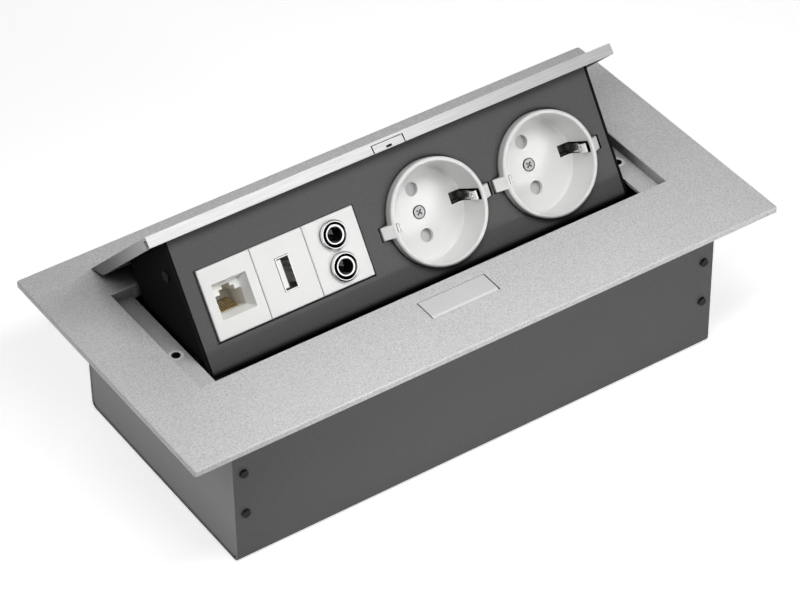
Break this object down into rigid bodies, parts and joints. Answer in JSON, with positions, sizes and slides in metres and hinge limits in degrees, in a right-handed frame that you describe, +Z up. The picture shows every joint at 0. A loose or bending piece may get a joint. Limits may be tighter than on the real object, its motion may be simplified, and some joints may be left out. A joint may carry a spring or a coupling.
{
  "type": "recessed furniture socket",
  "caption": "Recessed worktop socket unit with a spring-lifted tilting lid, earthed outlets and data ports behind it, and a push-button latch in the flange.",
  "frame": {"origin": "centre of the worktop cut-out, on the worktop's top face, which is the flange's underside", "axes": "+X along the flange's long side, -Y the front with the release button, +Z up out of the worktop"},
  "size_m": [0.265, 0.13, 0.1112],
  "materials": {
    "black_plastic": "matte black",
    "black_steel": "blackened",
    "brass": "drawn brass",
    "button_aluminium": "bead-blasted satin with a bright bevel",
    "chrome": "polished chrome plate",
    "dark_paint": "dark grey fine-texture powder coat",
    "frame_aluminium": "bead-blasted satin, anodised",
    "gold": "gold plated",
    "grey_plastic": "matte grey",
    "lid_aluminium": "brushed satin, anodised",
    "rubber": "matte rubber",
    "spring_steel": "bright spring steel",
    "white_plastic": "satin white",
    "zinc_steel": "zinc plated"
  },
  "bodies": {
    "housing": {"flange_frame": "frame_aluminium", "frame_screws": "zinc_steel", "housing_shell": "dark_paint", "end_plate_left": "dark_paint", "end_plate_right": "dark_paint", "housing_screws": "black_steel", "pivot_bracket_left": "zinc_steel", "pivot_bracket_right": "zinc_steel", "pivot_bushes": "grey_plastic", "bracket_screws": "zinc_steel", "torsion_spring_left": "spring_steel", "torsion_spring_right": "spring_steel", "latch_guide": "black_plastic", "guide_screws": "zinc_steel", "latch_spring": "spring_steel", "mains_grommet": "rubber", "data_grommet": "rubber", "cord_anchor": "black_plastic", "anchor_screws": "zinc_steel", "earth_stud": "brass"},
    "tilt_unit": {"lid": "lid_aluminium", "latch_keeper": "lid_aluminium", "lid_studs": "zinc_steel", "stud_nuts": "zinc_steel", "front_panel": "dark_paint", "rear_cover": "dark_paint", "side_plate_left": "dark_paint", "side_plate_right": "dark_paint", "side_screws": "black_steel", "pivot_pins": "zinc_steel", "pin_clips": "spring_steel", "socket_1_insert": "white_plastic", "socket_1_base": "grey_plastic", "socket_1_pin_sleeves": "brass", "socket_1_earth_clip": "spring_steel", "socket_1_screw": "zinc_steel", "socket_2_insert": "white_plastic", "socket_2_base": "grey_plastic", "socket_2_pin_sleeves": "brass", "socket_2_earth_clip": "spring_steel", "socket_2_screw": "zinc_steel", "module_support": "black_plastic", "network_plate": "white_plastic", "network_jack": "white_plastic", "network_wires": "gold", "usb_plate": "white_plastic", "usb_shell": "zinc_steel", "usb_tongue": "white_plastic", "usb_contacts": "gold", "audio_plate": "white_plastic", "audio_bushing_upper": "chrome", "audio_bushing_lower": "chrome", "audio_body_upper": "black_plastic", "audio_body_lower": "black_plastic", "audio_nuts": "zinc_steel", "audio_leaves": "spring_steel"},
    "release_button": {"release_button": "button_aluminium"},
    "latch_bolt": {"latch_bolt": "grey_plastic"},
    "shutter_1": {"socket_1_shutter": "grey_plastic"},
    "shutter_2": {"socket_2_shutter": "grey_plastic"}
  },
  "joints": [
    {"name": "tilt", "type": "hinge", "parent": "housing", "child": "tilt_unit", "pos_m": [0, 0.04604, -0.0192], "axis": [1, 0, 0], "range_deg": [0, 45], "stiffness_Nm_per_rad": 0.4, "springref_deg": -68.75, "deforming": ["torsion_spring_left", "torsion_spring_right"]},
    {"name": "button_press", "type": "slide", "parent": "housing", "child": "release_button", "axis": [0, 0, -1], "range_m": [0, 0.002], "stiffness_N_per_m": 600, "springref_m": -0.003},
    {"name": "bolt_slide", "type": "slide", "parent": "housing", "child": "latch_bolt", "axis": [0, -1, 0], "range_m": [0, 0.002], "deforming": ["latch_spring"]},
    {"name": "shutter_1_turn", "type": "hinge", "parent": "tilt_unit", "child": "shutter_1", "pos_m": [0.0137, 0.01005, 0.00498], "axis": [0, 0.832, -0.5548], "range_deg": [0, 42], "stiffness_Nm_per_rad": 0.003, "springref_deg": -17.19},
    {"name": "shutter_2_turn", "type": "hinge", "parent": "tilt_unit", "child": "shutter_2", "pos_m": [0.0659, 0.01005, 0.00498], "axis": [0, 0.832, -0.5548], "range_deg": [0, 42], "stiffness_Nm_per_rad": 0.003, "springref_deg": -17.19}
  ],
  "couplings": [
    {"joint": "bolt_slide", "follows": "button_press", "ratio": 1}
  ]
}
